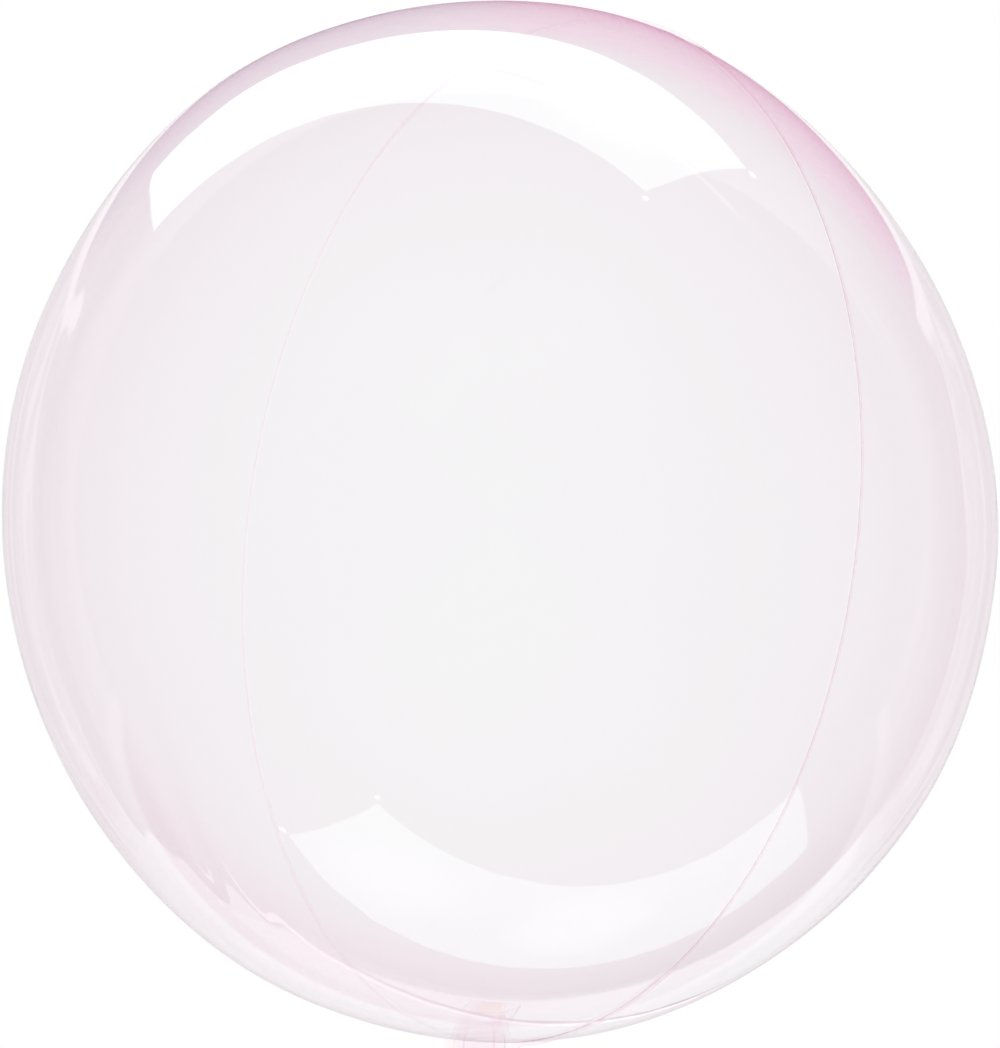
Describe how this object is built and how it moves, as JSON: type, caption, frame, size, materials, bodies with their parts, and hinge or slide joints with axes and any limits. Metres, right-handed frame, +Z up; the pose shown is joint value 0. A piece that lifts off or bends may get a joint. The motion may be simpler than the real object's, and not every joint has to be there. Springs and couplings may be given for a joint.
{
  "type": "clear bubble balloon",
  "caption": "Clear tinted bubble balloon: two film panels welded round one seam into a ball, with a self-sealing valve in its flat tail.",
  "frame": {"origin": "on the surface that the balloon lies on, under the middle of the ball", "axes": "+Z up from that surface; the neck and tail point to -Y and down; +X to the right seen from the tail"},
  "size_m": [0.4884, 0.4946, 0.5016],
  "materials": {
    "film": "glossy clear film with a faint pink tint",
    "valve_film": "thin pink film, slightly cloudy, with a peach coating at its mouth"
  },
  "bodies": {
    "root": {"front_panel": "film", "back_panel": "film", "valve": "valve_film"}
  },
  "joints": []
}
